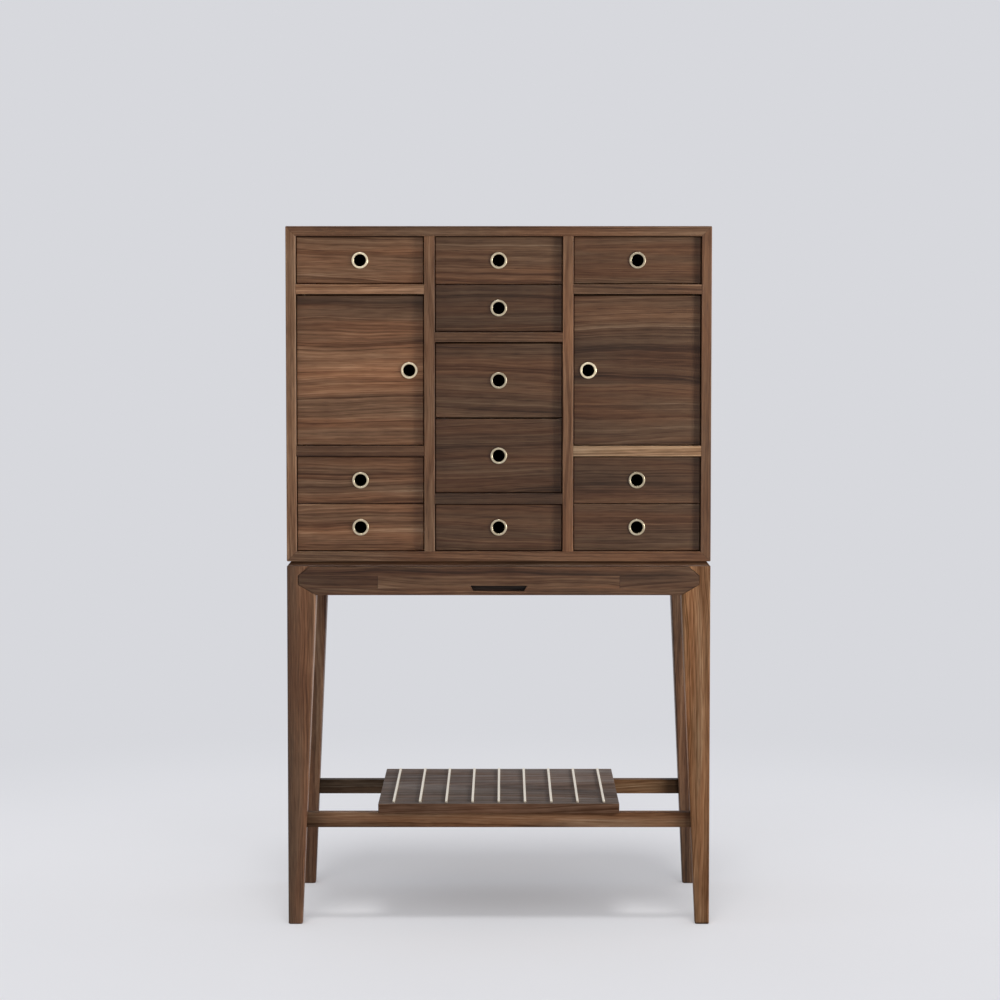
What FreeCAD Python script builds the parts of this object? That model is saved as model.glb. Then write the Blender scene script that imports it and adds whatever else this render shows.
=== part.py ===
import FreeCAD
import Part
import os

# Cabinet on stand: a case of drawers and doors on a four-legged stand with a low rack.
# Millimetres. X runs to the right, the front faces -Y, Z is up.
# The origin is on the floor, at the centre of the footprint.

# ---------------------------------------------------------------- driving dimensions
WIDTH = 850.0
DEPTH = 450.0
STAND_HEIGHT = 736.0
CASE_HEIGHT = 670.0

# Case boards
CASE_BOARD = 20.0          # outer boards, mitred at the four corners
INNER_BOARD = 21.0         # dividers between the columns, and the lower shelf in each
UPPER_SHELF = 19.5
BACK_PANEL = 8.0
BACK_INSET = 4.0           # from the back edge of the case to the back panel
BACK_REBATE = 10.0         # width of the rebate that holds the back panel
HOUSING = 6.0              # depth of the grooves that hold shelf and divider ends
HOUSING_STOP = 15.0        # the grooves stop this far behind the front edge
OUTER_CHAMFER = 1.5
INNER_CHAMFER = 0.8

# Fronts
DRAWER_MODULE = 95.5       # height of one small drawer opening
FRONT_RECESS = 9.0         # from the case's front edge to the drawer and door faces
FRONT_THICKNESS = 20.0
FRONT_GAP = 1.5
WIDE_GAP = 3.0             # above the doors and above each deep drawer
FRONT_CHAMFER = 1.0

# Drawer boxes
SIDE_THICKNESS = 12.0
SIDE_LAP = 12.0            # the sides are let this far into the drawer front
SIDE_RAISE = 2.0           # side bottom edge above the front's bottom edge
SIDE_DROP = 10.0           # side top edge below the front's top edge
BOX_BACK_Y = 200.0
BOTTOM_THICKNESS = 5.0
BOTTOM_RAISE = 5.0
BOTTOM_TONGUE = 5.0
RUNNER_HEIGHT = 10.0
RUNNER_DEPTH = 8.0
RUNNER_HALF_LENGTH = 190.0
GROOVE_DEPTH = 7.0
GROOVE_CLEARANCE = 0.3

# Ring pulls
RING_RADIUS = 16.5
RING_BORE = 12.3
RING_SLEEVE = 13.4
RING_HOLE = 13.5
RING_PROUD = 2.5
RING_ROUND = 0.9
RING_SLEEVE_LENGTH = 18.0
DOOR_RING_INSET = 30.0     # from the divider to the centre of a door's ring

# Door pivots: a pin plate in the door's edge turns in a socket plate in the shelf
PLATE_LENGTH = 40.0
PLATE_WIDTH = 12.0
PLATE_THICKNESS = 3.0
PLATE_SETBACK = 1.0        # plate behind the door's face
PIVOT_INSET = 14.0         # pin axis from the door's hinged edge
PIVOT_SETBACK = 6.0        # pin axis behind the door's face
PIN_RADIUS = 3.0
SOCKET_RADIUS = 3.05
PIN_LENGTH = 8.0
PIN_END_CLEARANCE = 1.0
CATCH_LENGTH = 30.0
CATCH_DEPTH = 12.0
CATCH_HEIGHT = 10.0
CATCH_GAP = 0.5
STRIKE_RADIUS = 3.0
STRIKE_THICKNESS = 1.5
STRIKE_DROP = 4.0          # strike disc below the door's top edge

# Stand
TOP_BEVEL_HEIGHT = 10.0    # the stand's top board, bevelled all round
TOP_BEVEL_RUN = 9.0
APRON_HEIGHT = 58.0
RAIL_THICKNESS = 20.0
POINT_BOTTOM = 58.0        # apron outline: distances in from the leg's outer face
POINT_TOP = 44.0
POINT_TIP = 22.0
POINT_LOW = 21.0           # blunt tip, from and to these heights above the apron's bottom
POINT_HIGH = 39.5
LEG_TOP = 58.0
LEG_FOOT = 28.0
LEG_CHAMFER = 2.5
FOOT_BEVEL = 1.5
APRON_GAP = 0.8
SLOT_LOW = 8.3             # finger slot above the apron's bottom
SLOT_HEIGHT = 11.0
SLOT_TOP_WIDTH = 115.0
SLOT_BOTTOM_WIDTH = 102.0
SLOT_DEPTH = 14.0
SLOT_LIP = 8.0             # the slot opens upwards behind this much wood
SLOT_UNDERCUT = 8.0

# Apron drawer box and its guides
APRON_BOX_HALF = 350.0
APRON_BOX_LOW = 8.0        # above the apron's bottom
APRON_BOX_HEIGHT = 38.0
APRON_TONGUE = 3.0
GUIDE_GAP = 2.0
GUIDE_HEIGHT = 22.0
GUIDE_END_GAP = 1.0

# Stretchers and rack
STRETCHER_LOW = 196.5
STRETCHER_HEIGHT = 30.0
STRETCHER_DEPTH = 24.0
STRETCHER_SETBACK = 7.0    # behind the legs' outer faces
TENON_LENGTH = 15.0
TENON_HEIGHT = 18.0
TENON_DEPTH = 12.0
RACK_WIDTH = 486.5
RACK_SETBACK = 1.0         # behind the legs' outer faces
RACK_THICKNESS = 19.0
STRIP_COUNT = 9
STRIP_PITCH = 53.1
STRIP_WIDTH = 4.8
STRIP_PROUD = 4.0
STRIP_LET_IN = 2.0
STRIP_ROUND = 1.0          # radius along their top edges and at their ends
STRIP_END = 15.0           # strips stop this far from the rack's front and back edges
EDGE_CHAMFER = 1.0

# Screws up through the stand's top board into the case
SCREW_X = 300.0
SCREW_Y = 120.0
SCREW_RADIUS = 2.0
SCREW_HEAD_RADIUS = 4.0
SCREW_HEAD_HEIGHT = 4.0
SCREW_LENGTH = 25.0

# ---------------------------------------------------------------- derived places
HALF_W = WIDTH / 2
HALF_D = DEPTH / 2
FRONT_Y = -HALF_D
CASE_LOW = STAND_HEIGHT
CASE_HIGH = STAND_HEIGHT + CASE_HEIGHT
INSIDE_LOW = CASE_LOW + CASE_BOARD
INSIDE_HIGH = CASE_HIGH - CASE_BOARD
INSIDE_X = HALF_W - CASE_BOARD
PANEL_Y = HALF_D - BACK_INSET - BACK_PANEL
COLUMN = (2 * INSIDE_X - 2 * INNER_BOARD) / 3
DOOR_HEIGHT = INSIDE_HIGH - INSIDE_LOW - 3 * DRAWER_MODULE - INNER_BOARD - UPPER_SHELF
FACE_Y = FRONT_Y + FRONT_RECESS
REAR_Y = FACE_Y + FRONT_THICKNESS
APRON_HIGH = STAND_HEIGHT - TOP_BEVEL_HEIGHT
APRON_LOW = APRON_HIGH - APRON_HEIGHT
STRETCHER_HIGH = STRETCHER_LOW + STRETCHER_HEIGHT
RACK_HALF_D = HALF_D - RACK_SETBACK
RACK_HIGH = STRETCHER_HIGH + RACK_THICKNESS
PIVOT_Y = FACE_Y + PIVOT_SETBACK

COLUMN_X = {
    "left": (-INSIDE_X, -INSIDE_X + COLUMN),
    "center": (-COLUMN / 2, COLUMN / 2),
    "right": (INSIDE_X - COLUMN, INSIDE_X),
}

# Levels of the side columns: two drawers, a shelf, the door, a shelf and a drawer
SIDE_SHELF_LOW = INSIDE_LOW + 2 * DRAWER_MODULE
DOOR_LOW = SIDE_SHELF_LOW + INNER_BOARD
DOOR_HIGH = DOOR_LOW + DOOR_HEIGHT
SIDE_TOP_DRAWER = DOOR_HIGH + UPPER_SHELF
# Levels of the centre column: one drawer, a shelf, two deep drawers, a shelf, two drawers
CENTER_SHELF_LOW = INSIDE_LOW + DRAWER_MODULE
DEEP_LOW = CENTER_SHELF_LOW + INNER_BOARD
DEEP_SPLIT = DEEP_LOW + DOOR_HEIGHT / 2
DEEP_HIGH = DEEP_LOW + DOOR_HEIGHT
CENTER_TOP_DRAWERS = DEEP_HIGH + UPPER_SHELF

HALF_GAP = FRONT_GAP / 2
# Each drawer: name, column, opening's low and high level, gap below and gap above the front
DRAWERS = []
for side in ("left", "right"):
    DRAWERS += [
        (f"drawer_{side}_top", side, SIDE_TOP_DRAWER, INSIDE_HIGH, FRONT_GAP, FRONT_GAP),
        (f"drawer_{side}_middle", side, INSIDE_LOW + DRAWER_MODULE, SIDE_SHELF_LOW, HALF_GAP, FRONT_GAP),
        (f"drawer_{side}_bottom", side, INSIDE_LOW, INSIDE_LOW + DRAWER_MODULE, FRONT_GAP, HALF_GAP),
    ]
TOP_SPLIT = CENTER_TOP_DRAWERS + DRAWER_MODULE
DRAWERS += [
    ("drawer_center_1", "center", TOP_SPLIT, INSIDE_HIGH, HALF_GAP, FRONT_GAP),
    ("drawer_center_2", "center", CENTER_TOP_DRAWERS, TOP_SPLIT, FRONT_GAP, HALF_GAP),
    ("drawer_center_3", "center", DEEP_SPLIT, DEEP_HIGH, HALF_GAP, WIDE_GAP),
    ("drawer_center_4", "center", DEEP_LOW, DEEP_SPLIT, FRONT_GAP, WIDE_GAP - HALF_GAP),
    ("drawer_center_5", "center", INSIDE_LOW, CENTER_SHELF_LOW, FRONT_GAP, FRONT_GAP),
]


# ---------------------------------------------------------------- helpers
def box(x0, x1, y0, y1, z0, z1):
    return Part.makeBox(x1 - x0, y1 - y0, z1 - z0, FreeCAD.Vector(x0, y0, z0))


def prism(points, along):
    """Solid from a closed outline of points, pushed along a vector."""
    outline = Part.makePolygon(points + [points[0]])
    return Part.Face(outline).extrude(along)


def tapered(low, high):
    """Solid between two outlines of matching points whose edges are parallel in pairs."""
    count = len(low)
    rings = [Part.makePolygon(points + [points[0]]) for points in (low, high)]
    for index in range(count):
        after = (index + 1) % count
        corners = [low[index], low[after], high[after], high[index]]
        rings.append(Part.makePolygon(corners + [corners[0]]))
    solid = Part.Solid(Part.Shell([Part.Face(ring) for ring in rings]))
    if solid.Volume < 0:
        solid.reverse()
    return solid


def rod(radius, length, x, y, z, direction):
    return Part.makeCylinder(radius, length, FreeCAD.Vector(x, y, z), direction)


UP = FreeCAD.Vector(0, 0, 1)
BACKWARD = FreeCAD.Vector(0, 1, 0)


def edges_on(shape, axis, value, tolerance=1e-4):
    """Straight edges that lie wholly in the plane axis = value."""
    return [
        edge
        for edge in shape.Edges
        if all(abs(getattr(vertex.Point, axis) - value) < tolerance for vertex in edge.Vertexes)
    ]


def edges_along(shape, axis):
    """Edges that run along one axis."""
    found = []
    for edge in shape.Edges:
        start, end = (vertex.Point for vertex in edge.Vertexes)
        if abs(getattr(start, axis) - getattr(end, axis)) > edge.Length * 0.999:
            found.append(edge)
    return found


def common_edges(first, second):
    return [edge for edge in first if any(edge.isSame(other) for other in second)]


def save(name, *solids):
    shape = solids[0] if len(solids) == 1 else Part.makeCompound(list(solids))
    shape.exportStep(f"parts/{name}.step")


# ---------------------------------------------------------------- case
def housed_board(x0, x1, z0, z1, reach_x, reach_z):
    """Board across a column or up the case, and the tongue that its neighbours are cut for."""
    board = box(x0, x1, FRONT_Y, PANEL_Y, z0, z1)
    length_axis = "x" if reach_x else "z"
    front = common_edges(edges_on(board, "y", FRONT_Y), edges_along(board, length_axis))
    board = board.makeChamfer(INNER_CHAMFER, front)
    tongue = box(x0 - reach_x, x1 + reach_x, FRONT_Y + HOUSING_STOP, PANEL_Y, z0 - reach_z, z1 + reach_z)
    return board.fuse(tongue).removeSplitter(), tongue


def shelf_places():
    """Column, low and high level of each of the six shelves."""
    places = []
    for side in ("left", "right"):
        places += [(side, SIDE_SHELF_LOW, DOOR_LOW), (side, DOOR_HIGH, SIDE_TOP_DRAWER)]
    places.append(("center", CENTER_SHELF_LOW, DEEP_LOW))
    places.append(("center", DEEP_HIGH, CENTER_TOP_DRAWERS))
    return places


def case_frame():
    """The four outer boards in one piece, before the mitres part them."""
    outer = box(-HALF_W, HALF_W, FRONT_Y, HALF_D, CASE_LOW, CASE_HIGH)
    outer = outer.makeChamfer(OUTER_CHAMFER, outer.Edges)
    frame = outer.cut(box(-INSIDE_X, INSIDE_X, FRONT_Y - 1, HALF_D + 1, INSIDE_LOW, INSIDE_HIGH))
    inner = [
        edge
        for edge in edges_on(frame, "y", FRONT_Y)
        if all(
            abs(vertex.X) < INSIDE_X + 0.01 and INSIDE_LOW - 0.01 < vertex.Z < INSIDE_HIGH + 0.01
            for vertex in edge.Vertexes
        )
    ]
    frame = frame.makeChamfer(INNER_CHAMFER, inner)
    rebate_x = INSIDE_X + BACK_REBATE
    rebate = box(
        -rebate_x, rebate_x, PANEL_Y, HALF_D + 1, INSIDE_LOW - BACK_REBATE, INSIDE_HIGH + BACK_REBATE
    )
    return frame.cut(rebate)


def mitre_wedge(x_outer, z_outer, x_inner, z_inner, sign, upright):
    """Trapezium between the 45-degree lines that run in from two neighbouring corners."""
    if upright:
        corners = [(sign * x_outer, z_outer[0]), (sign * x_outer, z_outer[1]),
                   (sign * x_inner, z_inner[1]), (sign * x_inner, z_inner[0])]
    else:
        level = 1 if sign > 0 else 0
        corners = [(-x_outer, z_outer[level]), (x_outer, z_outer[level]),
                   (x_inner, z_inner[level]), (-x_inner, z_inner[level])]
    points = [FreeCAD.Vector(x, FRONT_Y - 1, z) for x, z in corners]
    return prism(points, FreeCAD.Vector(0, DEPTH + 2, 0))


def make_case(screws):
    shelves = []
    tongues = []
    for column, low, high in shelf_places():
        x0, x1 = COLUMN_X[column]
        shelf, tongue = housed_board(x0, x1, low, high, HOUSING, 0)
        shelves.append(shelf)
        tongues.append(tongue)
    dividers = []
    divider_tongues = []
    for x0 in (COLUMN_X["left"][1], COLUMN_X["center"][1]):
        divider, tongue = housed_board(x0, x0 + INNER_BOARD, INSIDE_LOW, INSIDE_HIGH, 0, HOUSING)
        dividers.append(divider.cut(tongues))
        divider_tongues.append(tongue)

    frame = case_frame()
    z_outer = (CASE_LOW, CASE_HIGH)
    z_inner = (INSIDE_LOW, INSIDE_HIGH)
    for name, sign, upright in (
        ("case_top", 1, False),
        ("case_bottom", -1, False),
        ("case_side_left", -1, True),
        ("case_side_right", 1, True),
    ):
        board = frame.common(mitre_wedge(HALF_W, z_outer, INSIDE_X, z_inner, sign, upright))
        board = board.cut(tongues + divider_tongues)
        if name == "case_bottom":
            board = board.cut(screws)
        save(name, board)

    save("column_dividers", *dividers)
    for column in ("left", "right"):
        for fitting in socket_plates(column):
            shelves = [shelf.cut(fitting["hollow"]) for shelf in shelves]
    save("shelf_boards", *shelves)
    panel_x = INSIDE_X + BACK_REBATE
    save("case_back", box(-panel_x, panel_x, PANEL_Y, PANEL_Y + BACK_PANEL,
                          INSIDE_LOW - BACK_REBATE, INSIDE_HIGH + BACK_REBATE))


# ---------------------------------------------------------------- fronts and pulls
def ring_pull(x, z):
    """Flanged brass ring whose sleeve lines the finger hole through a front."""
    bend = RING_ROUND * (1 - 0.5 ** 0.5)

    def at(radius, depth):
        return FreeCAD.Vector(x + radius, FACE_Y + depth, z)

    outer_arc = Part.Arc(
        at(RING_RADIUS, RING_ROUND - RING_PROUD),
        at(RING_RADIUS - bend, bend - RING_PROUD),
        at(RING_RADIUS - RING_ROUND, -RING_PROUD),
    ).toShape()
    inner_arc = Part.Arc(
        at(RING_BORE + RING_ROUND, -RING_PROUD),
        at(RING_BORE + bend, bend - RING_PROUD),
        at(RING_BORE, RING_ROUND - RING_PROUD),
    ).toShape()
    sleeve = [
        at(RING_BORE, RING_ROUND - RING_PROUD),
        at(RING_BORE, RING_SLEEVE_LENGTH),
        at(RING_SLEEVE, RING_SLEEVE_LENGTH),
        at(RING_SLEEVE, 0),
        at(RING_RADIUS, 0),
        at(RING_RADIUS, RING_ROUND - RING_PROUD),
    ]
    edges = [Part.makeLine(start, end) for start, end in zip(sleeve, sleeve[1:])]
    edges += [outer_arc, Part.makeLine(outer_arc.Vertexes[1].Point, inner_arc.Vertexes[0].Point), inner_arc]
    profile = Part.Face(Part.Wire(Part.__sortEdges__(edges)))
    return profile.revolve(FreeCAD.Vector(x, FACE_Y, z), BACKWARD, 360)


def front_board(x0, x1, z0, z1, ring_x, ring_z):
    board = box(x0, x1, FACE_Y, REAR_Y, z0, z1)
    board = board.makeChamfer(FRONT_CHAMFER, edges_on(board, "y", FACE_Y))
    return board.cut(rod(RING_HOLE, FRONT_THICKNESS + 2, ring_x, FACE_Y - 1, ring_z, BACKWARD))


# ---------------------------------------------------------------- drawers
def drawer_box(x0, x1, lap_y, face_rear_y, z0, z1, tongue):
    """Two grooved sides, a back and a bottom. Returned as separate solids."""
    bottom_low = z0 + BOTTOM_RAISE
    bottom_high = bottom_low + BOTTOM_THICKNESS
    inner0 = x0 + SIDE_THICKNESS
    inner1 = x1 - SIDE_THICKNESS
    bottom = box(inner0 - BOTTOM_TONGUE, inner1 + BOTTOM_TONGUE,
                 face_rear_y - tongue, BOX_BACK_Y, bottom_low, bottom_high)
    back = box(inner0, inner1, BOX_BACK_Y - SIDE_THICKNESS, BOX_BACK_Y, bottom_high, z1)
    middle = (z0 + z1) / 2
    groove_half = RUNNER_HEIGHT / 2 + GROOVE_CLEARANCE
    sides = []
    for outer_x, inner_x, inward in ((x0, inner0, 1), (x1, inner1, -1)):
        side_board = box(min(outer_x, inner_x), max(outer_x, inner_x), lap_y, BOX_BACK_Y, z0, z1)
        groove_end = outer_x + inward * GROOVE_DEPTH
        groove = box(min(outer_x, groove_end), max(outer_x, groove_end),
                     face_rear_y + 1, BOX_BACK_Y, middle - groove_half, middle + groove_half)
        sides.append(side_board.cut([groove, bottom]))
    return sides + [back, bottom]


def runner_pair(x0, x1, middle):
    """Strips on the two walls of a column, which run in the grooves of the drawer sides."""
    low = middle - RUNNER_HEIGHT / 2
    high = middle + RUNNER_HEIGHT / 2
    return [
        box(x0, x0 + RUNNER_DEPTH, -RUNNER_HALF_LENGTH, RUNNER_HALF_LENGTH, low, high),
        box(x1 - RUNNER_DEPTH, x1, -RUNNER_HALF_LENGTH, RUNNER_HALF_LENGTH, low, high),
    ]


def make_drawers():
    runners = []
    for name, column, low, high, gap_low, gap_high in DRAWERS:
        x0, x1 = COLUMN_X[column]
        ring_x = (x0 + x1) / 2
        front_low = low + gap_low
        front_high = high - gap_high
        ring_z = (front_low + front_high) / 2
        side_low = front_low + SIDE_RAISE
        side_high = front_high - SIDE_DROP
        front = front_board(x0 + FRONT_GAP, x1 - FRONT_GAP, front_low, front_high, ring_x, ring_z)
        solids = drawer_box(x0 + FRONT_GAP, x1 - FRONT_GAP, REAR_Y - SIDE_LAP, REAR_Y,
                            side_low, side_high, BOTTOM_TONGUE)
        save(f"{name}_front", front.cut(solids))
        save(f"{name}_box", *solids)
        save(f"{name}_ring", ring_pull(ring_x, ring_z))
        runners += runner_pair(x0, x1, (side_low + side_high) / 2)
    return runners


# ---------------------------------------------------------------- doors
def hinge_side(column):
    """Level and direction facts of a door: its hinged edge and which way is inward."""
    x0, x1 = COLUMN_X[column]
    if column == "left":
        return x0 + FRONT_GAP, 1
    return x1 - FRONT_GAP, -1


def plate_at(column, z0, z1):
    edge, inward = hinge_side(column)
    far = edge + inward * PLATE_LENGTH
    plate_y = FACE_Y + PLATE_SETBACK
    return box(min(edge, far), max(edge, far), plate_y, plate_y + PLATE_WIDTH, z0, z1)


def pivot_x(column):
    edge, inward = hinge_side(column)
    return edge + inward * PIVOT_INSET


def socket_plates(column):
    """Socket plates let into the shelves above and below a door, and the hollows for them."""
    x = pivot_x(column)
    fittings = []
    for face, gap, direction in ((DOOR_HIGH, WIDE_GAP, 1), (DOOR_LOW, FRONT_GAP, -1)):
        far = face + direction * PLATE_THICKNESS
        plate = plate_at(column, min(face, far), max(face, far))
        axis = UP * direction
        depth = PIN_LENGTH - gap + PIN_END_CLEARANCE
        bore = rod(SOCKET_RADIUS, PLATE_THICKNESS, x, PIVOT_Y, face, axis)
        drilling = rod(SOCKET_RADIUS, depth, x, PIVOT_Y, face, axis)
        fittings.append({"plate": plate.cut(bore), "hollow": plate.fuse(drilling)})
    return fittings


def make_doors():
    fixed = []
    for column in ("left", "right"):
        x0, x1 = COLUMN_X[column]
        ring_x = (x1 - DOOR_RING_INSET) if column == "left" else (x0 + DOOR_RING_INSET)
        low = DOOR_LOW + FRONT_GAP
        high = DOOR_HIGH - WIDE_GAP
        ring_z = (low + high) / 2
        panel = front_board(x0 + FRONT_GAP, x1 - FRONT_GAP, low, high, ring_x, ring_z)
        fittings = []
        for edge_z, direction in ((high, 1), (low, -1)):
            sunk = edge_z - direction * PLATE_THICKNESS
            plate = plate_at(column, min(edge_z, sunk), max(edge_z, sunk))
            pin = rod(PIN_RADIUS, PIN_LENGTH, pivot_x(column), PIVOT_Y, edge_z, UP * direction)
            fittings.append(plate.fuse(pin).removeSplitter())
        strike = rod(STRIKE_RADIUS, STRIKE_THICKNESS, ring_x, REAR_Y - STRIKE_THICKNESS,
                     high - STRIKE_DROP, BACKWARD)
        fittings.append(strike)
        save(f"door_{column}_panel", panel.cut(fittings))
        save(f"door_{column}_ring", ring_pull(ring_x, ring_z))
        save(f"door_{column}_fittings", *fittings)
        fixed += [fitting["plate"] for fitting in socket_plates(column)]
        fixed.append(box(ring_x - CATCH_LENGTH / 2, ring_x + CATCH_LENGTH / 2,
                         REAR_Y + CATCH_GAP, REAR_Y + CATCH_GAP + CATCH_DEPTH,
                         DOOR_HIGH - CATCH_HEIGHT, DOOR_HIGH))
    save("door_sockets_and_catches", *fixed)


# ---------------------------------------------------------------- stand
def pointed_outline(half, pull_in):
    """Outline of an apron rail: its ends come to blunt points between the leg tops."""
    ends = [
        (half - POINT_BOTTOM - pull_in, APRON_LOW),
        (half - POINT_TIP - pull_in, APRON_LOW + POINT_LOW),
        (half - POINT_TIP - pull_in, APRON_LOW + POINT_HIGH),
        (half - POINT_TOP - pull_in, APRON_HIGH - pull_in),
    ]
    return ends + [(-u, z) for u, z in reversed(ends)]


def apron_solid(sign, pull_in=0.0):
    """Rail along X whose face is flush with the legs' front (-1) or back (+1)."""
    points = [FreeCAD.Vector(u, sign * HALF_D, z) for u, z in pointed_outline(HALF_W, pull_in)]
    return prism(points, FreeCAD.Vector(0, -sign * RAIL_THICKNESS, 0))


def side_rail(sign):
    points = [FreeCAD.Vector(sign * HALF_W, u, z) for u, z in pointed_outline(HALF_D, 0.0)]
    return prism(points, FreeCAD.Vector(-sign * RAIL_THICKNESS, 0, 0))


def leg_section(sign_x, sign_y, z, size, inset):
    """Square with cut corners, whose outer corner stays at the footprint's corner."""
    near = inset
    far = size - inset
    cut = LEG_CHAMFER
    local = [
        (near + cut, near), (far - cut, near), (far, near + cut), (far, far - cut),
        (far - cut, far), (near + cut, far), (near, far - cut), (near, near + cut),
    ]
    return [FreeCAD.Vector(sign_x * (HALF_W - u), sign_y * (HALF_D - v), z) for u, v in local]


def leg(sign_x, sign_y):
    slope = (LEG_TOP - LEG_FOOT) / APRON_LOW
    levels = [
        (0.0, LEG_FOOT, FOOT_BEVEL),
        (FOOT_BEVEL, LEG_FOOT + slope * FOOT_BEVEL, 0.0),
        (APRON_LOW, LEG_TOP, 0.0),
        (APRON_HIGH, LEG_TOP, 0.0),
    ]
    sections = [leg_section(sign_x, sign_y, z, size, inset) for z, size, inset in levels]
    spans = [tapered(low, high) for low, high in zip(sections, sections[1:])]
    return spans[0].fuse(spans[1:]).removeSplitter()


def stretcher(sign):
    """Bar between two legs, with a tenon at each end. It is longer than its place until trimmed."""
    outer = sign * (HALF_D - STRETCHER_SETBACK)
    inner = outer - sign * STRETCHER_DEPTH
    y0 = min(outer, inner)
    y1 = max(outer, inner)
    reach = HALF_W - LEG_FOOT
    bar = box(-reach, reach, y0, y1, STRETCHER_LOW, STRETCHER_HIGH)
    bar = bar.makeChamfer(EDGE_CHAMFER, edges_along(bar, "x"))
    middle_y = (y0 + y1) / 2
    middle_z = (STRETCHER_LOW + STRETCHER_HIGH) / 2
    tenon_x = HALF_W - leg_size(middle_z) + TENON_LENGTH
    tenon = box(-tenon_x, tenon_x, middle_y - TENON_DEPTH / 2, middle_y + TENON_DEPTH / 2,
                middle_z - TENON_HEIGHT / 2, middle_z + TENON_HEIGHT / 2)
    return bar, tenon


def leg_size(z):
    return LEG_FOOT + (LEG_TOP - LEG_FOOT) * z / APRON_LOW


def make_top_board(screws):
    """Board between stand and case, with a bevel all round that leaves a shadow line."""
    outlines = []
    for z, run in ((APRON_HIGH, 0.0), (STAND_HEIGHT, TOP_BEVEL_RUN)):
        x = HALF_W - run
        y = HALF_D - run
        outlines.append([FreeCAD.Vector(*point, z) for point in ((-x, -y), (x, -y), (x, y), (-x, y))])
    save("stand_top", tapered(*outlines).cut(screws))


def make_screws():
    screws = []
    for x in (-SCREW_X, 0.0, SCREW_X):
        for y in (-SCREW_Y, SCREW_Y):
            head = Part.makeCone(SCREW_HEAD_RADIUS, SCREW_RADIUS, SCREW_HEAD_HEIGHT,
                                 FreeCAD.Vector(x, y, APRON_HIGH), UP)
            shank = rod(SCREW_RADIUS, SCREW_LENGTH, x, y, APRON_HIGH, UP)
            screws.append(head.fuse(shank).removeSplitter())
    save("stand_screws", *screws)
    return screws


def make_stand():
    front_notch = apron_solid(-1)
    back_rail = apron_solid(1)
    side_rails = [side_rail(-1), side_rail(1)]
    bars = []
    tenons = []
    for sign in (-1, 1):
        bar, tenon = stretcher(sign)
        bars.append(bar)
        tenons.append(tenon)
    legs = []
    for name, sign_x, sign_y in (
        ("leg_front_left", -1, -1),
        ("leg_front_right", 1, -1),
        ("leg_back_left", -1, 1),
        ("leg_back_right", 1, 1),
    ):
        blank = leg(sign_x, sign_y)
        legs.append(blank)
        save(name, blank.cut([front_notch, back_rail] + side_rails + tenons))
    save("stand_rails", back_rail, *side_rails)
    save("stretchers", *[bar.cut(legs).fuse(tenon).removeSplitter() for bar, tenon in zip(bars, tenons)])


def finger_slot():
    """Slot near the apron's bottom edge, which opens upwards behind its lip."""
    low = APRON_LOW + SLOT_LOW
    high = low + SLOT_HEIGHT
    corners = [(-SLOT_TOP_WIDTH / 2, high), (SLOT_TOP_WIDTH / 2, high),
               (SLOT_BOTTOM_WIDTH / 2, low), (-SLOT_BOTTOM_WIDTH / 2, low)]
    points = [FreeCAD.Vector(x, FRONT_Y - 1, z) for x, z in corners]
    slot = prism(points, FreeCAD.Vector(0, SLOT_DEPTH + 1, 0))
    half = SLOT_BOTTOM_WIDTH / 2
    undercut = box(-half, half, FRONT_Y + SLOT_LIP, FRONT_Y + SLOT_DEPTH, low, high + SLOT_UNDERCUT)
    return slot.fuse(undercut)


def make_apron_drawer():
    """Shallow drawer behind the front apron, and the guides on the legs that carry it."""
    front = apron_solid(-1, APRON_GAP)
    front = front.makeChamfer(INNER_CHAMFER, edges_on(front, "y", FRONT_Y))
    rear_y = FRONT_Y + RAIL_THICKNESS
    low = APRON_LOW + APRON_BOX_LOW
    high = low + APRON_BOX_HEIGHT
    solids = drawer_box(-APRON_BOX_HALF, APRON_BOX_HALF, rear_y, rear_y, low, high, APRON_TONGUE)
    save("apron_drawer_front", front.cut([finger_slot()] + solids))
    save("apron_drawer_box", *solids)

    guides = []
    middle = (low + high) / 2
    outer = HALF_W - LEG_TOP
    guide_y = HALF_D - RAIL_THICKNESS - GUIDE_END_GAP
    for sign in (-1, 1):
        board_x = sorted((sign * outer, sign * (APRON_BOX_HALF + GUIDE_GAP)))
        strip_x = sorted((sign * outer, sign * (APRON_BOX_HALF + FRONT_GAP - RUNNER_DEPTH)))
        board = box(*board_x, -guide_y, guide_y, middle - GUIDE_HEIGHT / 2, middle + GUIDE_HEIGHT / 2)
        strip = box(*strip_x, -guide_y, guide_y, middle - RUNNER_HEIGHT / 2, middle + RUNNER_HEIGHT / 2)
        guides.append(board.fuse(strip).removeSplitter())
    return guides


def make_rack():
    """Board across the stretchers, with raised strips let into its top."""
    half = RACK_WIDTH / 2
    board = box(-half, half, -RACK_HALF_D, RACK_HALF_D, STRETCHER_HIGH, RACK_HIGH)
    board = board.makeChamfer(EDGE_CHAMFER, edges_on(board, "z", RACK_HIGH) + edges_along(board, "z"))
    strips = []
    strip_y = RACK_HALF_D - STRIP_END
    for index in range(STRIP_COUNT):
        x = (index - (STRIP_COUNT - 1) / 2) * STRIP_PITCH
        strip = box(x - STRIP_WIDTH / 2, x + STRIP_WIDTH / 2, -strip_y, strip_y,
                    RACK_HIGH - STRIP_LET_IN, RACK_HIGH + STRIP_PROUD)
        top_edges = edges_on(strip, "z", RACK_HIGH + STRIP_PROUD)
        strip = strip.makeFillet(STRIP_ROUND, edges_along(strip, "z") + top_edges)
        strips.append(strip)
    save("rack_board", board.cut(strips))
    save("rack_strips", *strips)


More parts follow.
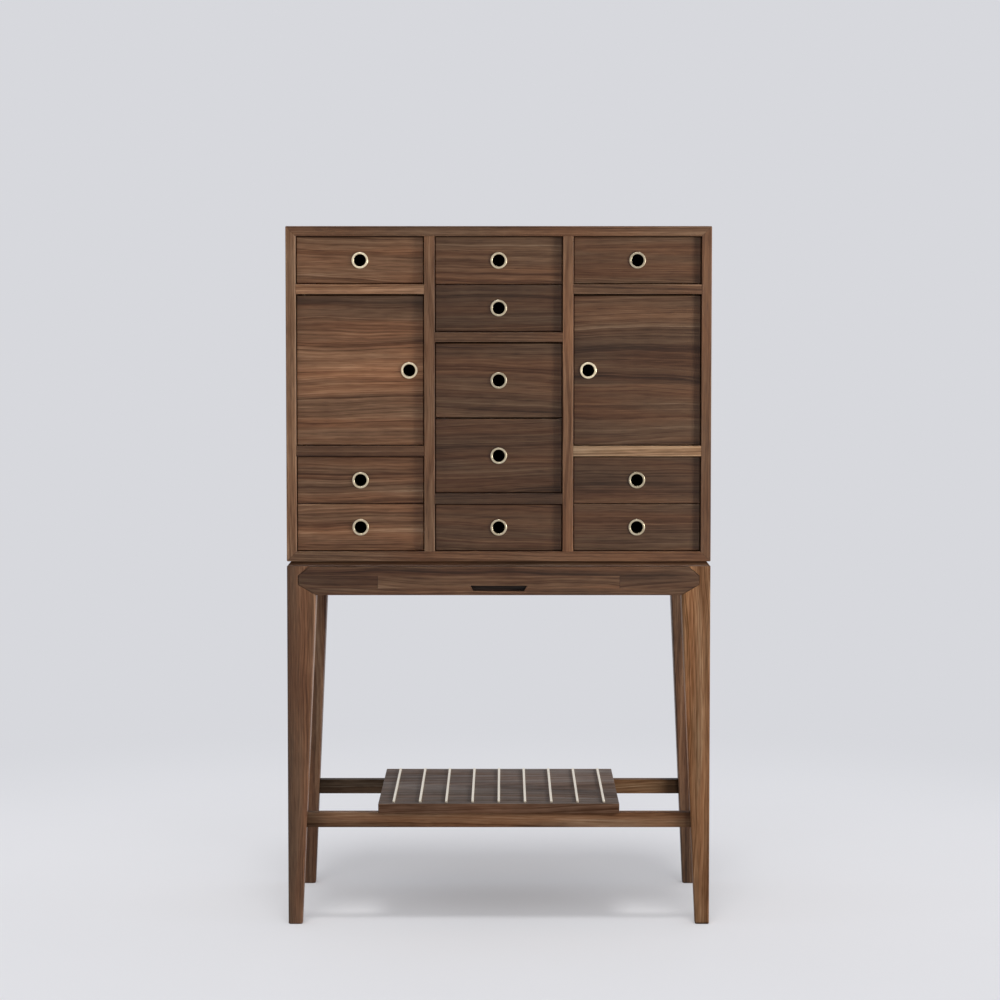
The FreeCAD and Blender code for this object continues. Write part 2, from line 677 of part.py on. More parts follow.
def main():
    os.makedirs("parts", exist_ok=True)
    screws = make_screws()
    make_case(screws)
    make_top_board(screws)
    runners = make_drawers()
    make_doors()
    make_stand()
    runners += make_apron_drawer()
    save("drawer_runners", *runners)
    make_rack()


main()
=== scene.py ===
import math

import bmesh
import bpy
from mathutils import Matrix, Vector


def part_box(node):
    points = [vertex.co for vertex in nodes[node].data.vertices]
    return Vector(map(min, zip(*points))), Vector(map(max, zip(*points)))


# Cabinet on stand: finishes, floor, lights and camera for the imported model.
# Metres. X runs to the right, the front faces -Y, Z is up.

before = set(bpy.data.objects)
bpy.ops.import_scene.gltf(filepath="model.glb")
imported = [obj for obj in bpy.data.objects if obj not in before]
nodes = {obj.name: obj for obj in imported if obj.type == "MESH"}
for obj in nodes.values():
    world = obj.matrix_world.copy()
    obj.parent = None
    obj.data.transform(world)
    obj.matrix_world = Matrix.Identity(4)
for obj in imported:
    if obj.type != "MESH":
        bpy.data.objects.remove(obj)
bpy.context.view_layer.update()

# ---------------------------------------------------------------- shader building

EDGE_SAMPLES = 4
EDGE_NONE, EDGE_FULL = 0.995, 0.90      # cosines between the flat and the rounded normal


class Value:
    """A node socket that can be used in sums."""

    def __init__(self, graph, socket):
        self.graph, self.socket = graph, socket

    def __add__(self, other):
        return self.graph.math("ADD", self, other)

    __radd__ = __add__

    def __sub__(self, other):
        return self.graph.math("SUBTRACT", self, other)

    def __rsub__(self, other):
        return self.graph.math("SUBTRACT", other, self)

    def __mul__(self, other):
        return self.graph.math("MULTIPLY", self, other)

    __rmul__ = __mul__

    def __truediv__(self, other):
        return self.graph.math("DIVIDE", self, other)

    def __abs__(self):
        return self.graph.math("ABSOLUTE", self)

    def __gt__(self, other):
        return self.graph.math("GREATER_THAN", self, other)

    def __lt__(self, other):
        return self.graph.math("LESS_THAN", self, other)


class Graph:
    """Adds nodes to one tree."""

    def __init__(self, tree):
        self.tree = tree

    def node(self, kind, inputs=None, **settings):
        node = self.tree.nodes.new(kind)
        for key, value in settings.items():
            setattr(node, key, value)
        for key, value in (inputs or {}).items():
            self.feed(node.inputs[key], value)
        return node

    def feed(self, socket, value):
        if isinstance(value, Value):
            self.tree.links.new(value.socket, socket)
        else:
            socket.default_value = value

    def math(self, operation, *values, clamp=False):
        node = self.node("ShaderNodeMath", operation=operation, use_clamp=clamp)
        for socket, value in zip(node.inputs, values):
            self.feed(socket, value)
        return Value(self, node.outputs[0])

    def vector(self, x, y, z):
        return Value(self, self.node("ShaderNodeCombineXYZ", {"X": x, "Y": y, "Z": z}).outputs[0])

    def split(self, vector):
        node = self.node("ShaderNodeSeparateXYZ", {"Vector": vector})
        return [Value(self, output) for output in node.outputs]

    def position(self):
        return self.split(Value(self, self.node("ShaderNodeTexCoord").outputs["Object"]))

    def facing(self):
        return self.split(Value(self, self.node("ShaderNodeTexCoord").outputs["Normal"]))

    def edge(self, radius):
        """1 along the edges and 0 away from them."""
        rounded = self.node("ShaderNodeBevel", {"Radius": radius}, samples=EDGE_SAMPLES).outputs[0]
        flat = self.node("ShaderNodeNewGeometry").outputs["Normal"]
        dot = self.node("ShaderNodeVectorMath", operation="DOT_PRODUCT")
        self.tree.links.new(rounded, dot.inputs[0])
        self.tree.links.new(flat, dot.inputs[1])
        return self.smooth(Value(self, dot.outputs["Value"]), EDGE_NONE, EDGE_FULL)

    def noise(self, vector, detail=1.0):
        node = self.node("ShaderNodeTexNoise", {"Vector": vector, "Scale": 1.0, "Detail": detail})
        return Value(self, node.outputs[0])

    def noise_line(self, w, detail=1.0):
        node = self.node("ShaderNodeTexNoise", {"W": w, "Scale": 1.0, "Detail": detail},
                         noise_dimensions="1D")
        return Value(self, node.outputs[0])

    def random(self, w):
        """Three numbers from 0 to 1 that change with w."""
        node = self.node("ShaderNodeTexWhiteNoise", {"W": w}, noise_dimensions="1D")
        return self.split(Value(self, node.outputs["Color"]))

    def ramp(self, factor, stops, interpolation="LINEAR"):
        node = self.node("ShaderNodeValToRGB", {"Fac": factor})
        node.color_ramp.interpolation = interpolation
        elements = node.color_ramp.elements
        while len(elements) < len(stops):
            elements.new(0.5)
        for element, (place, colour) in zip(elements, stops):
            element.position = place
            element.color = (*colour, 1.0)
        return Value(self, node.outputs["Color"])

    def choose(self, index, values):
        """values[index], as steps. A value is a number or a colour."""
        colours = (v if isinstance(v, tuple) else (v, v, v) for v in values)
        stops = [(i / len(values), colour) for i, colour in enumerate(colours)]
        return self.ramp((index + 0.5) / len(values), stops, "CONSTANT")

    def curve(self, value, points):
        """A line through (place, number) points, in the order of their places."""
        first, last = points[0][0], points[-1][0]
        stops = [((place - first) / (last - first), (v, v, v)) for place, v in points]
        return self.ramp((value - first) / (last - first), stops)

    def smooth(self, value, low, high):
        """0 at low and 1 at high, which may be the smaller of the two."""
        node = self.node("ShaderNodeMapRange",
                         {"Value": value, "From Min": low, "From Max": high},
                         interpolation_type="SMOOTHSTEP")
        return Value(self, node.outputs["Result"])

    def mix(self, factor, a, b, blend="MIX"):
        node = self.node("ShaderNodeMix", data_type="RGBA", blend_type=blend)
        self.feed(node.inputs[0], factor)
        self.feed(node.inputs[6], a if isinstance(a, Value) else (*a, 1.0))
        self.feed(node.inputs[7], b if isinstance(b, Value) else (*b, 1.0))
        return Value(self, node.outputs[2])

    def tint(self, colour, by):
        """One colour times another."""
        return self.mix(1.0, colour, by, "MULTIPLY")

    def grey(self, value):
        return self.vector(value, value, value)


def new_material(name):
    material = bpy.data.materials.new(name)
    material.use_nodes = True
    graph = Graph(material.node_tree)
    shader = material.node_tree.nodes["Principled BSDF"]
    return material, graph, shader


# ---------------------------------------------------------------- timber

FIGURE_INPUTS = ("Along", "Across", "Through", "Board", "Slope")
FIGURE_OUTPUTS = ("Value", "Pores", "Height", "Hue")

# The middle of the log, from the board: spread to the sides, spread in depth, least depth
PITH_SIDE, PITH_DEPTH, PITH_NEAREST = 0.12, 0.06, 0.012
SWEEP_BEND, RIPPLE_BEND = 0.07, 0.012

# Features per metre: along the grain, across it. DRIFT has the log's radius for the second.
SWEEP, RIPPLE, PATCH, HUE, DRIFT = (1.6, 5.0), (7.0, 26.0), (4.0, 24.0), (2.5, 30.0), (1.3, 60.0)
FIBRE, FLECK, PORE = (10.0, 700.0), (22.0, 240.0), (42.0, 1500.0)

# Growth rings, broad ones first: features per metre of radius, seed, detail, share in the tone
GROWTH = ((55.0, 5.1, 1.0, 0.55), (135.0, 3.3, 1.0, 0.45), (330.0, 9.3, 2.0, 0.62))
DARK_LINES, PALE_LINES = (210.0, 6.7), (190.0, 8.9)     # features per metre of radius, seed
LINE_EDGE = (0.62, 0.72)
DARK_DRIFT, PALE_DRIFT = (0.40, 0.62), (0.60, 0.38)     # where in the drift they show
PORE_EDGE, HUE_EDGE = (0.60, 0.76), (0.34, 0.66)

FIBRE_TONE, FLECK_TONE, PATCH_TONE, LINE_TONE = 0.40, 0.42, 0.50, 0.16
FIBRE_HEIGHT, LINE_HEIGHT = 0.5, 0.2


def make_figure_group():
    """The rings of a log as a board cuts them, with fibres and pores, in the board's metres."""
    tree = bpy.data.node_groups.new("timber_figure", "ShaderNodeTree")
    for direction, names in (("INPUT", FIGURE_INPUTS), ("OUTPUT", FIGURE_OUTPUTS)):
        for name in names:
            tree.interface.new_socket(name, in_out=direction, socket_type="NodeSocketFloat")
    g = Graph(tree)
    inlet = g.node("NodeGroupInput")
    along, across, through, board, slope = (
        Value(g, inlet.outputs[name]) for name in FIGURE_INPUTS)

    def cloud(scale, second, seed, detail=1.0):
        return g.noise(g.vector(along * scale[0], second * scale[1], seed), detail)

    def cells(scale, detail):
        """Noise in thin cells that lie along the grain."""
        second, third = across * scale[1], through * scale[1] + board
        return g.noise(g.vector(along * scale[0], second, third), detail)

    def rings(frequency, seed, detail=1.0):
        return g.noise_line(radius * frequency + board * seed, detail)

    # What is multiplied with board or added to it only keeps the noises apart
    side, depth, tilt = g.random(board)
    sweep = cloud(SWEEP, across, board * 3.7) - 0.5
    ripple = cloud(RIPPLE, across, board * 1.9 + 40.0) - 0.5
    u = across + (side - 0.5) * PITH_SIDE + (sweep * SWEEP_BEND + ripple * RIPPLE_BEND)
    v = through + depth * PITH_DEPTH + PITH_NEAREST + slope * (tilt - 0.5) * along
    radius = g.math("SQRT", u * u + v * v)

    drift = cloud(DRIFT, radius, board * 4.1 + 9.0)
    dark_line = g.smooth(rings(*DARK_LINES), *LINE_EDGE) * g.smooth(drift, *DARK_DRIFT)
    pale_line = g.smooth(rings(*PALE_LINES), *LINE_EDGE) * g.smooth(drift, *PALE_DRIFT)
    fibre = cells(FIBRE, 2.0) - 0.5
    fleck = cells(FLECK, 1.0) - 0.5
    pores = g.smooth(cells(PORE, 0.0), *PORE_EDGE)
    patch = cloud(PATCH, across, board * 7.7, 2.0) - 0.5
    hue = g.smooth(cloud(HUE, across, board * 2.9 + 17.0, 2.0), *HUE_EDGE)

    value = 0.5
    for frequency, seed, detail, share in GROWTH:
        value = value + (rings(frequency, seed, detail) - 0.5) * share
    value = value + fibre * FIBRE_TONE + fleck * FLECK_TONE + patch * PATCH_TONE
    value = value - dark_line * LINE_TONE + pale_line * LINE_TONE
    height = fibre * FIBRE_HEIGHT - pores - dark_line * LINE_HEIGHT
    outlet = g.node("NodeGroupOutput")
    for name, result in zip(FIGURE_OUTPUTS, (value, pores, height, hue)):
        g.feed(outlet.inputs[name], result)
    return tree


figure_group = make_figure_group()

WALNUT = (
    (0.08, (0.0440, 0.0177, 0.0064)),
    (0.30, (0.0920, 0.0393, 0.0167)),
    (0.50, (0.1453, 0.0688, 0.0328)),
    (0.70, (0.1985, 0.1010, 0.0507)),
    (0.92, (0.2790, 0.1590, 0.0883)),
)
REDDISH = (1.05, 0.96, 0.90)
OLIVE = (0.95, 1.03, 1.10)
MAPLE = (
    (0.05, (0.40, 0.27, 0.16)),
    (0.45, (0.56, 0.42, 0.27)),
    (0.95, (0.68, 0.55, 0.39)),
)
BEECH = (
    (0.05, (0.30, 0.17, 0.10)),
    (0.50, (0.44, 0.28, 0.17)),
    (0.95, (0.54, 0.38, 0.25)),
)
AXES = {"x": 0, "y": 1, "z": 2}

# Painted highlight: patches along the edges are painted lighter and made rougher
END_GRAIN_SHADE, PORE_SHADE, EDGE_PAINTED_HIGHLIGHT = 0.30, 0.30, 0.25
EDGE_HIGHLIGHT_RADIUS, EDGE_HIGHLIGHT_PER_METRE, EDGE_HIGHLIGHT_SPREAD = 0.0015, 60.0, (0.35, 0.65)
TONE_ROUGHNESS, PORE_ROUGHNESS, EDGE_HIGHLIGHT_ROUGHNESS = 0.12, 0.12, 0.06
GRAIN_BUMP = {"Strength": 0.30, "Distance": 0.0004}


def timber(name, grain, across, board, tone=1.0, slope=0.05, palette=WALNUT, roughness=0.44,
           specular=0.25, turned=None):
    """A board's material. grain and across are axis letters; board numbers the piece of wood.
    board and tone are numbers, or functions of the graph and the position. tone's gives a colour.
    Where the function turned is 1, X and Y change places."""
    material, g, shader = new_material(name)
    place, facing = g.position(), g.facing()
    if turned:
        swap = turned(g, *place)
        place, facing = (
            (x + (y - x) * swap, y + (x - y) * swap, z) for x, y, z in (place, facing))
    through = ({"x", "y", "z"} - {grain, across}).pop()

    figure = g.node("ShaderNodeGroup", node_tree=figure_group)
    piece = board(g, *place) if callable(board) else board
    inputs = [place[AXES[letter]] for letter in (grain, across, through)] + [piece, slope]
    for key, value in zip(FIGURE_INPUTS, inputs):
        g.feed(figure.inputs[key], value)
    value, pores, height, hue = (Value(g, figure.outputs[key]) for key in FIGURE_OUTPUTS)

    end_grain = abs(facing[AXES[grain]])
    # Painted highlight along the edges, in patches: it lightens the colour and raises the roughness
    edge_highlight_patches = g.noise(g.vector(*(EDGE_HIGHLIGHT_PER_METRE * p for p in place)), 2.0)
    edge_highlight = g.edge(EDGE_HIGHLIGHT_RADIUS) * g.smooth(edge_highlight_patches, *EDGE_HIGHLIGHT_SPREAD)
    shade = (1.0 - END_GRAIN_SHADE * end_grain) * (1.0 - PORE_SHADE * pores)
    shade = shade * (1.0 + EDGE_PAINTED_HIGHLIGHT * edge_highlight)
    if not callable(tone):
        shade = shade * tone
    colour = g.tint(g.ramp(value, palette), g.grey(shade))
    colour = g.tint(colour, g.mix(hue, OLIVE, REDDISH))
    if callable(tone):
        colour = g.tint(colour, tone(g, *place))
    g.feed(shader.inputs["Base Color"], colour)
    shader.inputs["Specular IOR Level"].default_value = specular
    g.feed(shader.inputs["Roughness"], roughness + (0.5 - value) * TONE_ROUGHNESS
           + pores * PORE_ROUGHNESS + edge_highlight * EDGE_HIGHLIGHT_ROUGHNESS)
    bump = g.node("ShaderNodeBump", {**GRAIN_BUMP, "Height": height})
    g.feed(shader.inputs["Normal"], Value(g, bump.outputs[0]))
    return material


def dress(node, material):
    mesh = nodes[node].data
    mesh.materials.clear()
    mesh.materials.append(material)


# Case boards, with thin dark joint lines along the mitres at the corners
CASE_HALF, CASE_LOW, CASE_HIGH = 0.425, 0.736, 1.406
MITRE_LINE, MITRE_TONE = 0.0005, 0.45


def case_board(node, grain, board, tone):
    def mitred(g, x, y, z):
        inward = CASE_HALF - abs(x)
        level = g.math("MINIMUM", CASE_HIGH - z, z - CASE_LOW)
        line = abs(inward - level) < MITRE_LINE
        return g.mix(line, tone, tuple(MITRE_TONE * channel for channel in tone))

    dress(node, timber("walnut_" + node, grain, "y", board, mitred))


# The tones are partly the wood's own and partly painted light: the left side, which gets less of
# the key light, is painted lighter
case_board("case_top", "x", 1, (0.84, 0.84, 0.84))
case_board("case_bottom", "x", 2, (0.80, 0.80, 0.80))
case_board("case_side_left", "z", 3, (1.33, 1.41, 1.46))
case_board("case_side_right", "z", 4, (0.88, 0.88, 0.88))

BACK_BOARD_WIDTH = 0.14
dress("case_back", timber(
    "walnut_back", "z", "x", lambda g, x, y, z: g.math("FLOOR", x / BACK_BOARD_WIDTH) + 60, 0.9))

DIVIDER_TONES = (0.97, 1.01)
dress("column_dividers", timber(
    "walnut_dividers", "z", "y", lambda g, x, y, z: (x > 0.0) + 5,
    lambda g, x, y, z: g.choose(x > 0.0, DIVIDER_TONES)))

# Shelves, by column from the left, lower row first
SHELF_TONES = (0.51, 0.37, (1.98, 2.53, 2.89), (1.65, 1.87, 2.06), 0.62, 0.71)
UPPER_ROW = 1.1
divider_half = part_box("column_dividers")[1].x


def shelf_index(g, x, y, z):
    return (x > -divider_half) + (x > divider_half) + 3.0 * (z > UPPER_ROW)


dress("shelf_boards", timber(
    "walnut_shelves", "x", "y", lambda g, *p: shelf_index(g, *p) + 10,
    lambda g, *p: g.choose(shelf_index(g, *p), SHELF_TONES)))

# Drawer fronts: board number, tone, slope of the grain
# The tones are partly the wood's own and partly painted light: the fronts on the left are painted
# lighter
FRONTS = {
    "drawer_left_top_front": (21, 1.22, 0.05),
    "drawer_left_middle_front": (22, 0.88, 0.06),
    "drawer_left_bottom_front": (23, 1.09, 0.15),
    "drawer_center_1_front": (24, 0.725, 0.20),
    "drawer_center_2_front": (25, 0.42, 0.05),
    "drawer_center_3_front": (26, 0.56, 0.20),
    "drawer_center_4_front": (27, 0.475, 0.05),
    "drawer_center_5_front": (28, 0.54, 0.15),
    "drawer_right_top_front": (29, 0.64, 0.10),
    "drawer_right_middle_front": (30, 0.43, 0.05),
    "drawer_right_bottom_front": (31, 0.50, 0.12),
}
for node, (board, tone, slope) in FRONTS.items():
    dress(node, timber("walnut_" + node, "x", "z", board, tone, slope))

# The doors change in tone from the bottom up: height, tone
DOOR_LEFT_TONES = (
    (0.970, 1.00), (1.060, 1.10), (1.100, 1.38), (1.145, 1.42), (1.195, 0.97),
    (1.250, 0.79), (1.252, 0.48), (1.268, 0.48),
)
DOOR_RIGHT_TONES = (
    (0.970, 0.48), (1.030, 0.54), (1.080, 0.53), (1.090, 0.66), (1.092, 0.38), (1.128, 0.39),
    (1.132, 0.49), (1.152, 0.43), (1.163, 0.34), (1.175, 0.45), (1.205, 0.60), (1.268, 0.64),
)
DOORS = (("door_left_panel", 32, DOOR_LEFT_TONES), ("door_right_panel", 36, DOOR_RIGHT_TONES))
for node, board, tones in DOORS:
    dress(node, timber(
        "walnut_" + node, "x", "z", board,
        lambda g, x, y, z, tones=tones: g.curve(z, tones), slope=0.06))

# The apron front has a lighter piece set into its middle stave, between two joint lines
STAVE_LOW, STAVE_HIGH, STAVE_HALF = 0.682, 0.707, 0.243
STAVE_LINE, STAVE_LINE_SHADE = 0.0007, 0.45
# Its finger slot is painted dark from the face inwards, as painted shade
SLOT_HALF, SLOT_TOP, SLOT_DEPTHS, SLOT_PAINTED_SHADE = 0.0565, 0.6875, (-0.2235, -0.2180), 0.80
# Tones below the stave, above it, at its ends and in the lighter piece
APRON_TONES = (0.62, 0.55, 0.52, 0.85)


def in_stave(z):
    return (z > STAVE_LOW) * (z < STAVE_HIGH)


def apron_part(g, x, y, z):
    """0 below the middle stave, 1 above it, 2 at its ends and 3 in the piece between them."""
    stave = in_stave(z)
    piece = stave * (abs(x) < STAVE_HALF)
    return (z > STAVE_HIGH) + 2.0 * stave + piece


def apron_tone_and_slot_shade(g, x, y, z):
    # painted shade inside the finger slot
    inside = (abs(x) < SLOT_HALF) * (z < SLOT_TOP) * g.smooth(y, *SLOT_DEPTHS)
    joint = in_stave(z) * (abs(abs(x) - STAVE_HALF) < STAVE_LINE)
    shade = (1.0 - SLOT_PAINTED_SHADE * inside) * (1.0 - STAVE_LINE_SHADE * joint)
    return g.tint(g.choose(apron_part(g, x, y, z), APRON_TONES), g.grey(shade))


dress("apron_drawer_front", timber(
    "walnut_apron_front", "x", "z", lambda g, *p: apron_part(g, *p) + 40, apron_tone_and_slot_shade, slope=0.04))

# Stand. The side rails lie outside SIDE_RAIL_X and the back rail ends inside it. The side rails'
# X and Y change places, so that Y is past BACK_RAIL_Y in the right one and negative in the left.
SIDE_RAIL_X, BACK_RAIL_Y = 0.404, 0.3
# The stand's top is painted dark: painted shade in the groove under the case
dress("stand_top", timber("walnut_stand_top", "x", "y", 45, 0.45))
dress("stand_rails", timber(
    "walnut_rail", "x", "z", lambda g, x, y, z: 46 + (y > BACK_RAIL_Y) + 2.0 * (y < 0.0), 0.85,
    turned=lambda g, x, y, z: abs(x) > SIDE_RAIL_X))

# Front legs: x, tone. The left leg is glued up along LAMINATION.
LEG_LEFT_TONES = ((-0.425, 0.46), (-0.412, 0.69), (-0.399, 0.87), (-0.384, 1.36), (-0.367, 1.70))
LEG_RIGHT_TONES = (
    (0.367, 1.60), (0.372, 1.75), (0.376, 2.25), (0.378, 2.30), (0.3815, 1.95),
    (0.384, 1.72), (0.389, 1.40), (0.392, 1.18), (0.397, 1.02), (0.400, 0.90),
    (0.404, 0.90), (0.408, 1.06), (0.412, 1.12), (0.414, 1.02), (0.425, 1.10),
)
LEG_RIGHT_TINT = (0.99, 1.04, 1.03)
LAMINATION, LAMINATION_LINE, LAMINATION_SHADE = -0.403, 0.0005, 0.25
FOOT_HEIGHT, FOOT_SHADE = 0.0045, 0.5       # the right leg's end is darker


def leg_left_tone(g, x, y, z):
    shade = 1.0 - LAMINATION_SHADE * (abs(x - LAMINATION) < LAMINATION_LINE)
    return g.tint(g.curve(x, LEG_LEFT_TONES), g.grey(shade))


def leg_right_tone(g, x, y, z):
    shade = 1.0 - FOOT_SHADE * (z < FOOT_HEIGHT)
    return g.tint(g.tint(g.curve(x, LEG_RIGHT_TONES), LEG_RIGHT_TINT), g.grey(shade))


dress("leg_front_left", timber("walnut_leg_front_left", "z", "x", 50, leg_left_tone))
dress("leg_front_right", timber(
    "walnut_leg_front_right", "z", "x", 51, leg_right_tone, roughness=0.5, specular=0.05))
dress("leg_back_left", timber("walnut_leg_back_left", "z", "x", 52, 0.92))
dress("leg_back_right", timber("walnut_leg_back_right", "z", "x", 53, 0.70))

# The stretchers are painted darker at the legs, as painted shade, and the back one also towards its
# left end, as a painted shadow
STRETCHER_FRONT = (0.94, 1.02, 1.11)
STRETCHER_BACK, STRETCHER_BACK_LEFT_SHADOW = (0.91, 0.93, 0.89), (0.48, 0.65, 0.85)
STRETCHER_FADE = 0.2
FRONT_END_SHADE = (     # distance from the middle, tone
    (0.310, 1.0), (0.330, 0.95), (0.345, 0.84), (0.355, 0.68), (0.365, 0.52), (0.378, 0.44),
)
BACK_END_SHADE = (      # x, tone
    (-0.380, 0.58), (-0.360, 0.68), (-0.330, 0.90), (-0.300, 1.0), (0.300, 1.0),
    (0.325, 0.86), (0.347, 0.62), (0.356, 0.42), (0.364, 0.24), (0.380, 0.20),
)


def stretcher_tone_and_shade(g, x, y, z):
    fade = g.smooth(x, -STRETCHER_FADE, STRETCHER_FADE)
    back = g.mix(fade, STRETCHER_BACK_LEFT_SHADOW, STRETCHER_BACK)
    # painted shade at both ends, near the legs
    end_shade = g.mix(y > 0.0, g.curve(abs(x), FRONT_END_SHADE), g.curve(x, BACK_END_SHADE))
    return g.tint(g.mix(y > 0.0, STRETCHER_FRONT, back), end_shade)


dress("stretchers", timber(
    "walnut_stretchers", "x", "z", lambda g, x, y, z: (y > 0.0) + 54, stretcher_tone_and_shade,
    roughness=0.5, specular=0.04))

# The rack's top has the wood's tone with a cool grey painted reflection of the backdrop, and is
# darker towards the front; its front face is darker still
RACK_FACE_Y, RACK_FADE = -0.2235, (-0.075, -0.010)
RACK_DARK, RACK_LIGHT, RACK_FACE = (0.89, 1.34, 2.20), (1.17, 1.80, 3.05), (0.68, 0.735, 0.90)


def rack_tone_and_reflection(g, x, y, z):
    top = g.mix(g.smooth(y, *RACK_FADE), RACK_DARK, RACK_LIGHT)
    return g.mix(y < RACK_FACE_Y, top, RACK_FACE)


dress("rack_board", timber(
    "walnut_rack", "x", "y", 57, rack_tone_and_reflection, roughness=0.50, specular=0.02))

# Drawer boxes and runners
for node in nodes:
    if node.endswith("_box"):
        dress(node, timber("lining_" + node, "y", "x", 70, palette=MAPLE, roughness=0.5))
dress("drawer_runners", timber("beech_runners", "y", "z", 71, palette=BEECH, roughness=0.5))

# ---------------------------------------------------------------- metal

# Features per metre along each axis
TARNISH, BRUSHING = (90.0, 40.0, 90.0), (3000.0, 90.0, 3000.0)
TARNISH_ROUGHNESS = 0.12
BRUSH_DEPTH = 0.00005


def metal(name, dark, light, roughness, brushing=0.12, tone=1.0, metallic=1.0):
    """brushing is how far the brush lines change the roughness, and how strongly they stand out."""
    material, g, shader = new_material(name)
    place = g.position()
    cloud, brushed = (
        g.noise(g.vector(*(p * per_metre for p, per_metre in zip(place, scale))), detail)
        for scale, detail in ((TARNISH, 3.0), (BRUSHING, 1.0)))
    stops = [(stop, tuple(min(tone * channel, 1.0) for channel in colour))
             for stop, colour in ((0.30, dark), (0.70, light))]
    g.feed(shader.inputs["Base Color"], g.ramp(cloud, stops))
    g.feed(shader.inputs["Roughness"],
           roughness + (cloud - 0.5) * TARNISH_ROUGHNESS + (brushed - 0.5) * brushing)
    bump = g.node("ShaderNodeBump",
                  {"Strength": brushing, "Distance": BRUSH_DEPTH, "Height": brushed})
    g.feed(shader.inputs["Normal"], Value(g, bump.outputs[0]))
    shader.inputs["Metallic"].default_value = metallic
    return material


# The ring pulls are not all alike in tone
BRASS_DARK, BRASS_LIGHT = (0.745, 0.62, 0.41), (0.865, 0.75, 0.54)
RING_TONES = {
    "drawer_left_top_ring": 1.18,
    "door_left_ring": 1.05,
    "drawer_left_middle_ring": 0.855,
    "drawer_left_bottom_ring": 0.80,
    "drawer_center_1_ring": 0.865,
    "drawer_center_2_ring": 0.775,
    "drawer_center_3_ring": 0.64,
    "drawer_center_4_ring": 0.745,
    "drawer_center_5_ring": 0.72,
    "drawer_right_top_ring": 0.655,
    "door_right_ring": 1.13,
    "drawer_right_middle_ring": 0.615,
    "drawer_right_bottom_ring": 0.69,
}
bronze = metal("bronze", (0.030, 0.022, 0.014), (0.055, 0.042, 0.028), 0.50)
steel = metal("steel", (0.46, 0.45, 0.43), (0.58, 0.57, 0.55), 0.34)
for node in nodes:
    if node.endswith("_ring"):
        dress(node, metal("brass_" + node, BRASS_DARK, BRASS_LIGHT, 0.38, tone=RING_TONES[node]))
    if node.endswith("_fittings"):
        dress(node, bronze)
dress("rack_strips", metal(
    "pale_brass", (1.0, 0.89, 0.71), (1.0, 0.92, 0.75), 0.30, brushing=0.01, metallic=0.85))
dress("door_sockets_and_catches", bronze)
dress("stand_screws", steel)

# ---------------------------------------------------------------- floor, light, camera

BACKDROP = (0.680, 0.687, 0.723)
FLOOR = (0.835, 0.833, 0.850)
FLOOR_RADII, FLOOR_SIDES = (1.0, 2.0, 4.0, 12.0), 64
FLOOR_FADE = (1.1, 2.6)     # distances over which the floor turns into the backdrop
FLOOR_PATCHES = 1.5         # per metre
FLOOR_TINT_LEAST, FLOOR_TINT_RANGE = 0.985, 0.03


def make_floor():
    mesh = bpy.data.meshes.new("floor")
    build = bmesh.new()
    centre = build.verts.new((0, 0, 0))
    angles = [2 * math.pi * i / FLOOR_SIDES for i in range(FLOOR_SIDES)]
    loops = [[build.verts.new((r * math.cos(angle), r * math.sin(angle), 0)) for angle in angles]
             for r in FLOOR_RADII]
    for i in range(FLOOR_SIDES):
        j = (i + 1) % FLOOR_SIDES
        build.faces.new((centre, loops[0][i], loops[0][j]))
        for inner, outer in zip(loops, loops[1:]):
            build.faces.new((inner[i], outer[i], outer[j], inner[j]))
    build.to_mesh(mesh)
    build.free()
    floor = bpy.data.objects.new("floor", mesh)
    bpy.context.scene.collection.objects.link(floor)
    material, g, shader = new_material("studio_floor")
    x, y, z = g.position()
    cloud = g.noise(g.vector(x * FLOOR_PATCHES, y * FLOOR_PATCHES, 0.0), 2.0)
    tint = FLOOR_TINT_LEAST + FLOOR_TINT_RANGE * cloud
    g.feed(shader.inputs["Base Color"], g.tint(FLOOR, g.grey(tint)))
    shader.inputs["Roughness"].default_value = 0.9
    shader.inputs["Specular IOR Level"].default_value = 0.0
    far = g.smooth(g.math("SQRT", x * x + y * y), *FLOOR_FADE)
    glow = g.node("ShaderNodeEmission", {"Color": (*BACKDROP, 1.0), "Strength": 1.0})
    blend = g.node("ShaderNodeMixShader", {"Fac": far})
    tree = material.node_tree
    tree.links.new(shader.outputs[0], blend.inputs[1])
    tree.links.new(glow.outputs[0], blend.inputs[2])
    tree.links.new(blend.outputs[0], tree.nodes["Material Output"].inputs["Surface"])
    mesh.materials.append(material)
    return floor


floor = make_floor()


def make_world(ambient):
    """The camera and reflections see the backdrop; the light it gives has the ambient colour."""
    world = bpy.data.worlds.new("studio")
    bpy.context.scene.world = world
    world.use_nodes = True
    g = Graph(world.node_tree)
    path = g.node("ShaderNodeLightPath").outputs
    seen = g.math("ADD", Value(g, path["Is Camera Ray"]), Value(g, path["Is Glossy Ray"]))
    seen = g.math("ADD", seen, Value(g, path["Is Transmission Ray"]), clamp=True)
    background = world.node_tree.nodes["Background"]
    g.feed(background.inputs["Color"], g.mix(seen, ambient, BACKDROP))


make_world((0.41, 0.42, 0.445))


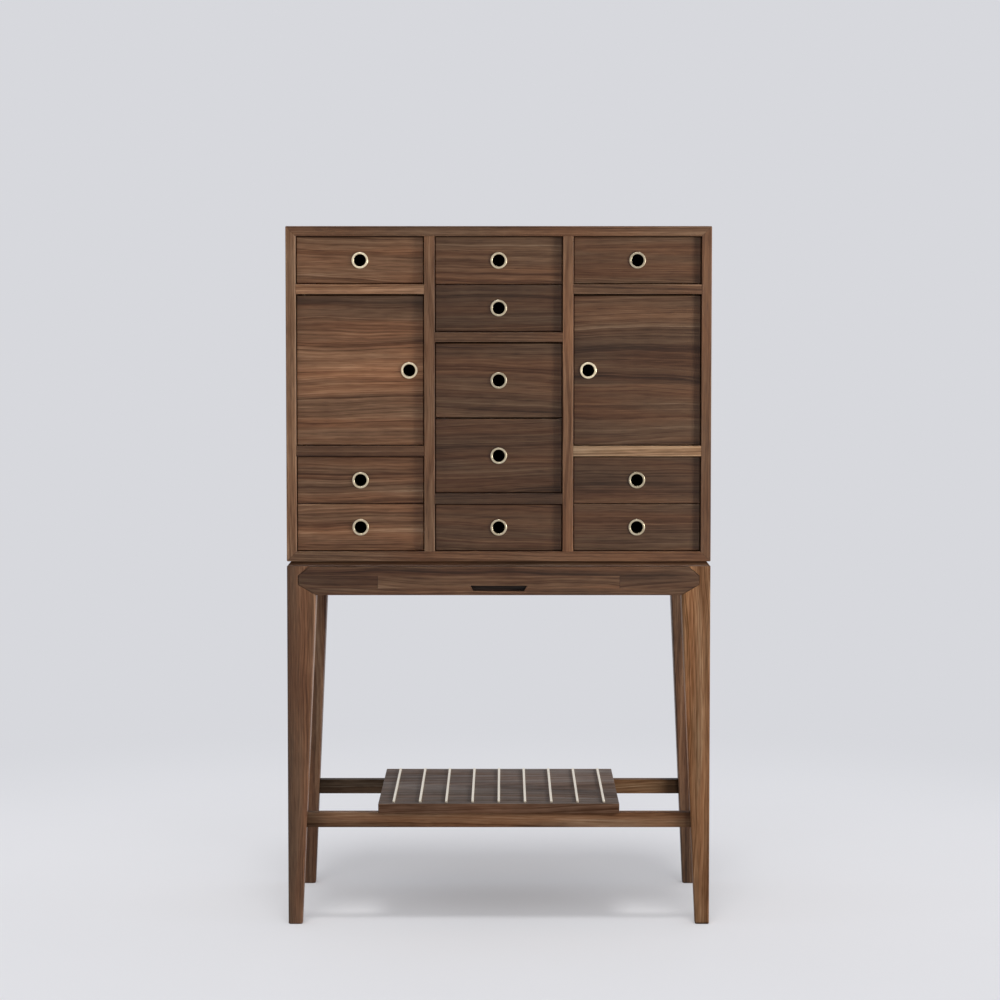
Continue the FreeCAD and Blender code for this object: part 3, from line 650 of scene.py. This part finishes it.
def place_lamp(name, light, location, target, lit):
    """Only what is in lit gets the light."""
    lamp = bpy.data.objects.new(name, light)
    bpy.context.scene.collection.objects.link(lamp)
    lamp.location = location
    away = Vector(location) - Vector(target)
    lamp.rotation_euler = away.to_track_quat("Z", "Y").to_euler()
    lamp.visible_camera = False
    lamp.light_linking.receiver_collection = lit


def panel_light(name, width, height, watts, location, target, lit):
    light = bpy.data.lights.new(name, "AREA")
    light.shape, light.size, light.size_y, light.energy = "RECTANGLE", width, height, watts
    place_lamp(name, light, location, target, lit)


def sun(name, strength, spread, location, lit, shadow=True):
    """spread is the angle the sun fills, in degrees."""
    light = bpy.data.lights.new(name, "SUN")
    light.energy, light.angle, light.use_shadow = strength, math.radians(spread), shadow
    place_lamp(name, light, location, (0, 0, 0), lit)


def collection(name, members):
    made = bpy.data.collections.new(name)
    for member in members:
        made.objects.link(member)
    return made


shown = collection("object", nodes.values())
ground = collection("ground", [floor])
above_rack = collection(
    "above_rack", [floor] + [node for name, node in nodes.items() if "rack" not in name])
panel_light("key", 0.42, 0.6, 50.0, (2.03, -1.05, 1.1), (0.0, -0.2, 1.0), shown)
sun("fill", 0.22, 40.0, (-1.0, -1.4, 0.9), shown)
sun("overhead", 0.62, 14.0, (0.0, -0.32, 1.0), above_rack)
sun("floor_fill", 0.70, 10.0, (0.0, 0.0, 1.0), ground, shadow=False)
sun("floor_front", 0.54, 60.0, (0.0, -1.0, 0.6), ground)

CAMERA_AT = (0.009, -6.134, 1.255)
CAMERA_DOWN = 3.829         # degrees below the horizon
FRAME_PIXELS = 1000.0
FOCAL_PIXELS = 2957.0
CENTRE_PIXEL = 503.2        # where the camera's axis meets the frame
SENSOR = 36.0

camera_data = bpy.data.cameras.new("camera")
camera_data.sensor_width = SENSOR
camera_data.lens = FOCAL_PIXELS / FRAME_PIXELS * SENSOR
camera_data.shift_x = (FRAME_PIXELS / 2 - CENTRE_PIXEL) / FRAME_PIXELS
camera = bpy.data.objects.new("camera", camera_data)
camera.location = CAMERA_AT
camera.rotation_euler = (math.radians(90.0 - CAMERA_DOWN), 0.0, 0.0)
bpy.context.scene.collection.objects.link(camera)
bpy.context.scene.camera = camera

bpy.context.scene.view_settings.view_transform = "Standard"
